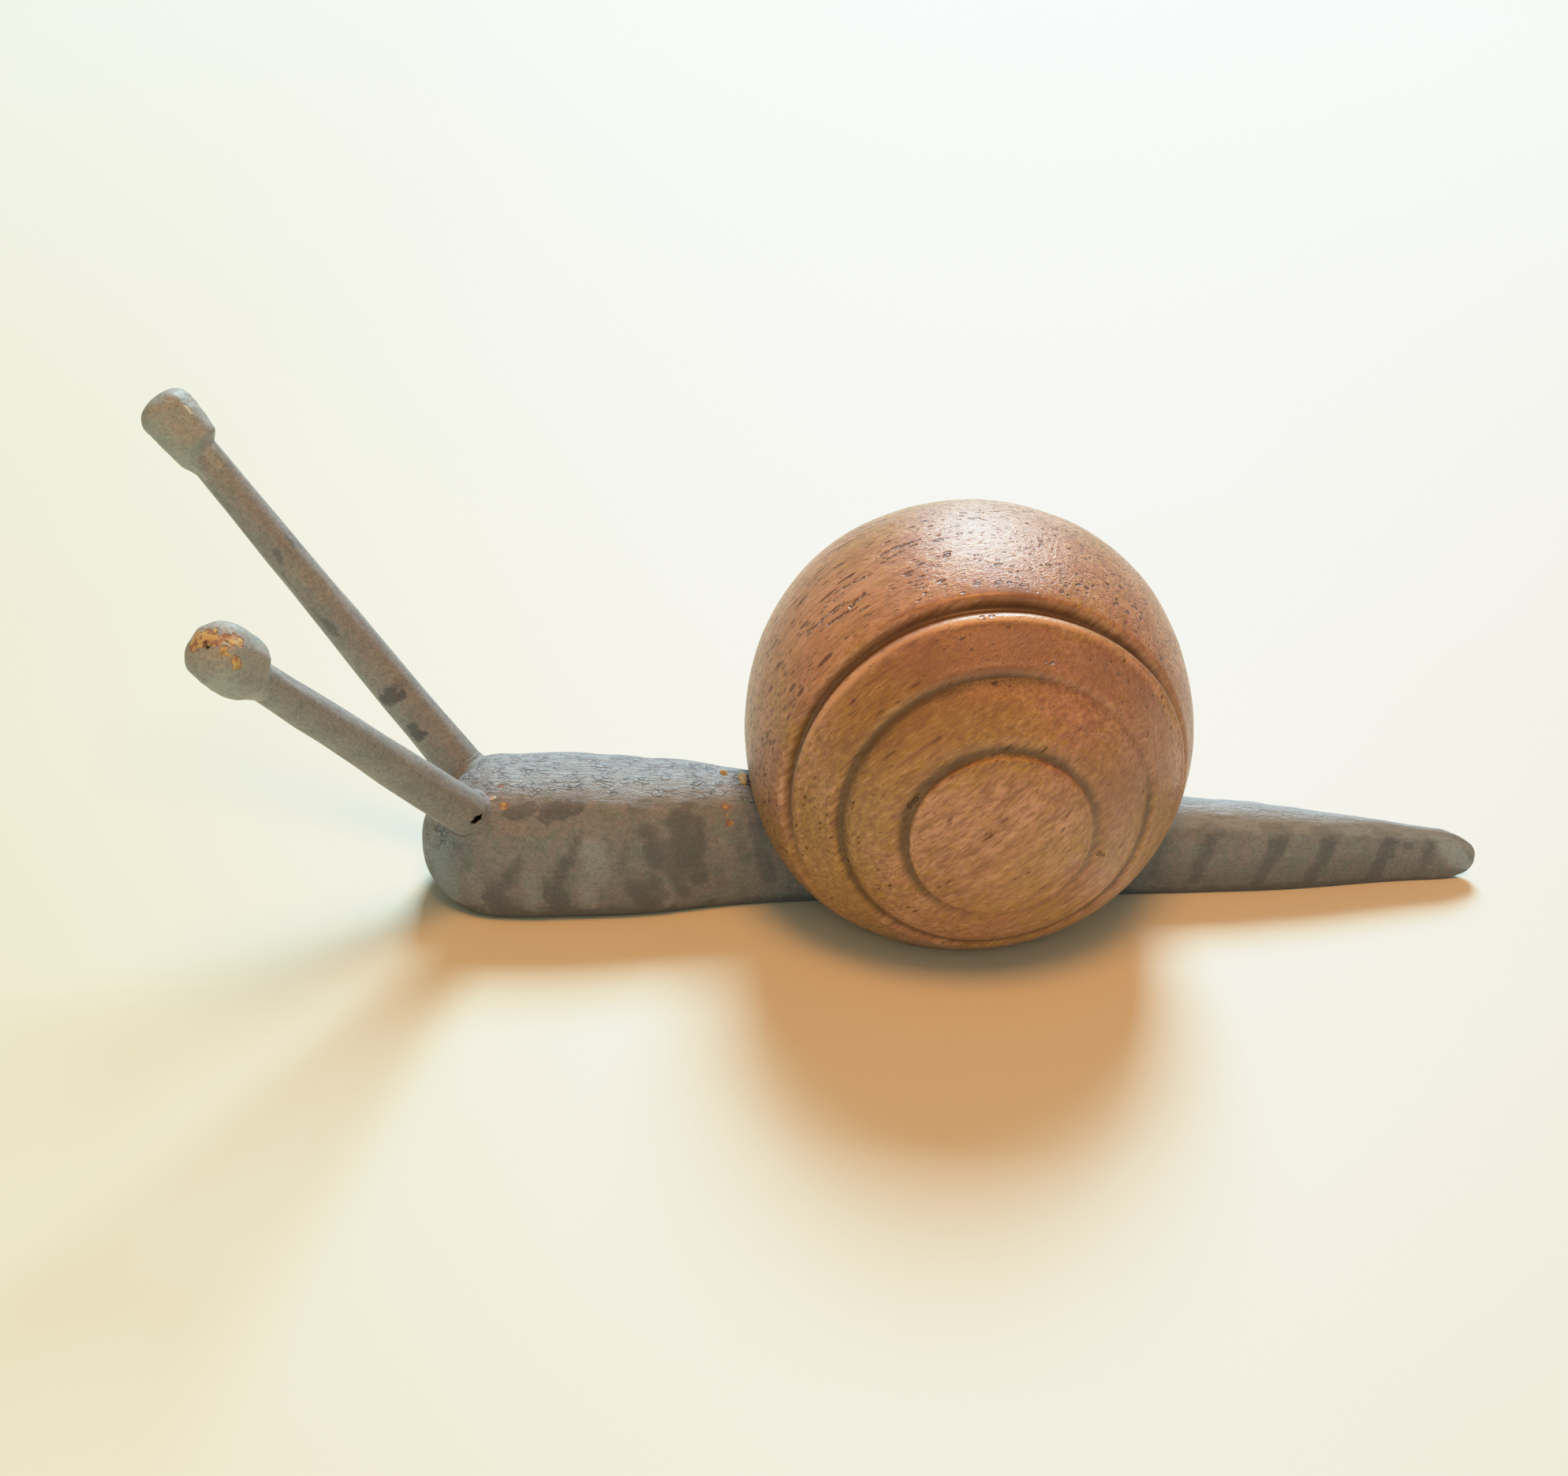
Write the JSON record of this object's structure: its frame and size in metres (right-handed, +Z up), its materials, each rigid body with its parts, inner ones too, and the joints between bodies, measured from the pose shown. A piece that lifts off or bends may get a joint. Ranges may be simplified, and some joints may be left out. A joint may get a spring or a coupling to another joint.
{
  "type": "wooden snail toy",
  "caption": "Small hand-carved wooden snail toy: painted body with tapering tail, turned hardwood shell with ringed faces, and stick tentacles with bead eyes.",
  "frame": {"origin": "on the flat underside of the body, straight below the shell's centre", "axes": "-X towards the head, +X towards the tip of the tail, -Y towards the snail's left side, +Z up"},
  "size_m": [0.115, 0.0434, 0.0409],
  "materials": {
    "painted_wood": "thin satin grey paint brushed over wood, with darker grey blotches and stripes",
    "lacquered_hardwood": "satin clear lacquer over turned reddish-brown open-pored hardwood",
    "bare_wood": "bare turned dowel, glued"
  },
  "bodies": {
    "root": {"body": "painted_wood", "shell": "lacquered_hardwood", "shell_dowel": "bare_wood", "left_stalk": "painted_wood", "left_eye_bead": "painted_wood", "right_stalk": "painted_wood", "right_eye_bead": "painted_wood"}
  },
  "joints": []
}
